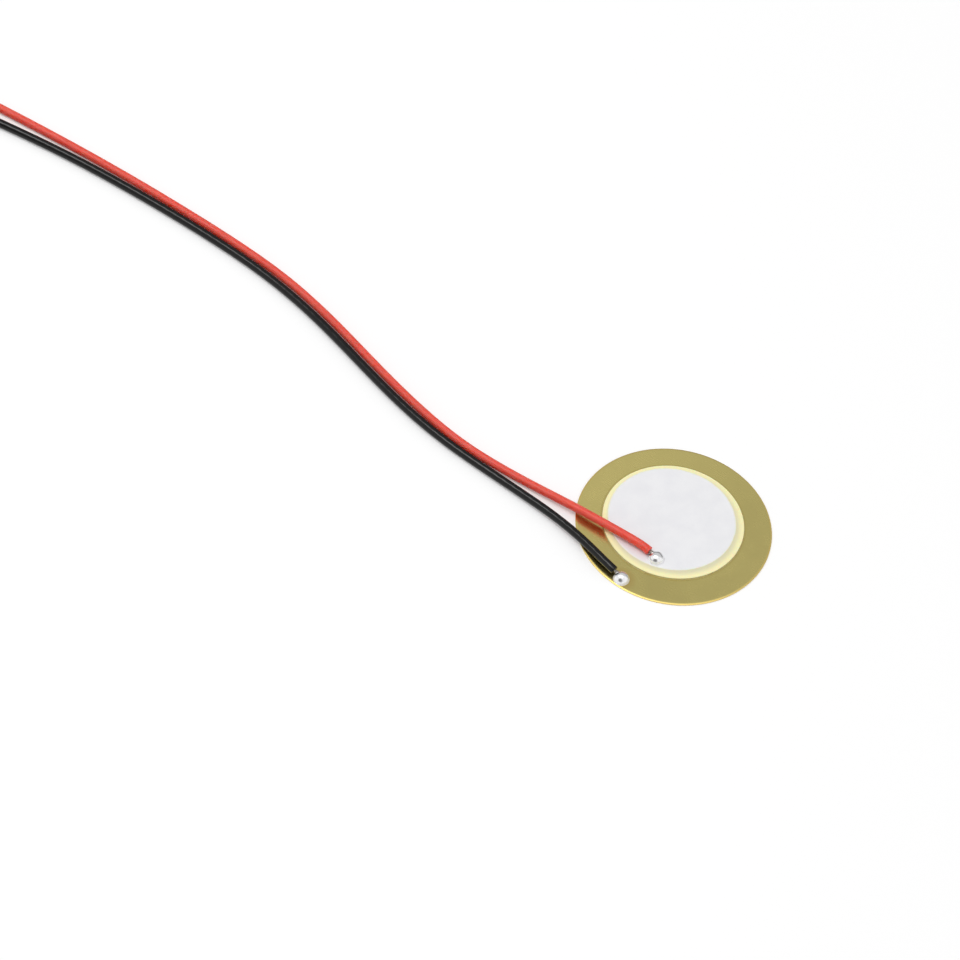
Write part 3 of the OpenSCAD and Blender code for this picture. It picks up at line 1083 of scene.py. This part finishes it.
def make_floor():
    """A white sheet that the eye sees as white and that keeps the part's shadow."""
    corners = [(x * SHEET_REACH, y * SHEET_REACH, 0) for x, y in ((-1, -1), (1, -1), (1, 1), (-1, 1))]
    mesh = new_mesh("floor", corners, [(0, 1, 2, 3)])
    mesh.transform(Matrix.Translation((0, 0, -SHEET_DROP)))
    paper = bpy.data.materials.new("paper")
    paper.use_nodes = True
    tree = paper.node_tree
    tree.nodes.clear()
    matte = add(tree, "ShaderNodeBsdfDiffuse", {"Color": SHEET_WHITE})
    seen = add(tree, "ShaderNodeLightPath").outputs
    straight = sum_of(tree, seen["Is Camera Ray"], seen["Is Glossy Ray"])
    strength = product(tree, straight, SHEET_GLOW)
    glow = add(tree, "ShaderNodeEmission", {"Color": (1, 1, 1, 1), "Strength": strength})
    both = add(tree, "ShaderNodeAddShader", {0: matte.outputs[0], 1: glow.outputs[0]})
    add(tree, "ShaderNodeOutputMaterial", {"Surface": both.outputs[0]})
    mesh.materials.append(paper)
    floor = bpy.data.objects.new("floor", mesh)
    bpy.context.scene.collection.objects.link(floor)


def make_world():
    """A light tent: bright ceiling, pale near walls, darker far wall, and a gap on the eye's side."""
    world = bpy.data.worlds.new("tent")
    world.use_nodes = True
    tree = world.node_tree
    tree.nodes.clear()
    ray = add(tree, "ShaderNodeTexCoord").outputs["Generated"]
    height = add(tree, "ShaderNodeSeparateXYZ", {0: ray}).outputs["Z"]
    far_way = backward(CAMERA_AZIMUTH + 180, 0)
    behind = fitted(tree, facing(tree, ray, far_way), 0.02, 0.5, 0, 1)
    walls = fitted(tree, behind, 0, 1, NEAR_WALL, FAR_WALL)
    ceiling = fitted(tree, height, 0.86, 0.97, 0, 1)
    room = sum_of(tree, walls, product(tree, ceiling, CEILING - FAR_WALL))
    level = add(tree, "ShaderNodeVectorMath", {0: ray, 1: (1, 1, 0)}, operation="MULTIPLY").outputs[0]
    level = add(tree, "ShaderNodeVectorMath", {0: level}, operation="NORMALIZE").outputs[0]
    straight_behind = fitted(tree, facing(tree, level, far_way), 0.3, 0.7, 0, 1)
    low = fitted(tree, height, 0.2, 0.45, 1 - SKIRTING, 0)
    dark = product(tree, low, straight_behind)
    lit = add(tree, "ShaderNodeMath", {0: 1.0, 1: dark}, operation="SUBTRACT").outputs[0]
    shaded = product(tree, room, lit)
    gap_core, gap_rim = (math.cos(math.radians(radius)) for radius in GAP_R)
    toward_gap = facing(tree, ray, backward(*GAP_AT))
    gap = fitted(tree, toward_gap, gap_rim, gap_core, 1, GAP_LEVEL)
    strength = product(tree, shaded, gap)
    tent = add(tree, "ShaderNodeBackground", {"Color": (1, 1, 1, 1), "Strength": strength})
    white = add(tree, "ShaderNodeBackground", {"Color": (1, 1, 1, 1), "Strength": 1.0})
    seen = add(tree, "ShaderNodeLightPath").outputs["Is Camera Ray"]
    both = add(tree, "ShaderNodeMixShader", {0: seen, 1: tent.outputs[0], 2: white.outputs[0]})
    add(tree, "ShaderNodeOutputWorld", {"Surface": both.outputs[0]})
    bpy.context.scene.world = world


def make_lamp():
    data = bpy.data.lights.new("key", "AREA")
    data.shape = "DISK"
    data.size = LAMP_D
    data.energy = LAMP_POWER
    lamp = bpy.data.objects.new("key", data)
    lamp.location = LAMP_AT
    lamp.rotation_mode = "QUATERNION"
    lamp.rotation_quaternion = (Vector(LAMP_AIM) - Vector(LAMP_AT)).to_track_quat("-Z", "Y")
    lamp.visible_camera = False
    bpy.context.scene.collection.objects.link(lamp)


make_floor()
make_world()
make_lamp()

bpy.context.scene.view_settings.view_transform = "Standard"
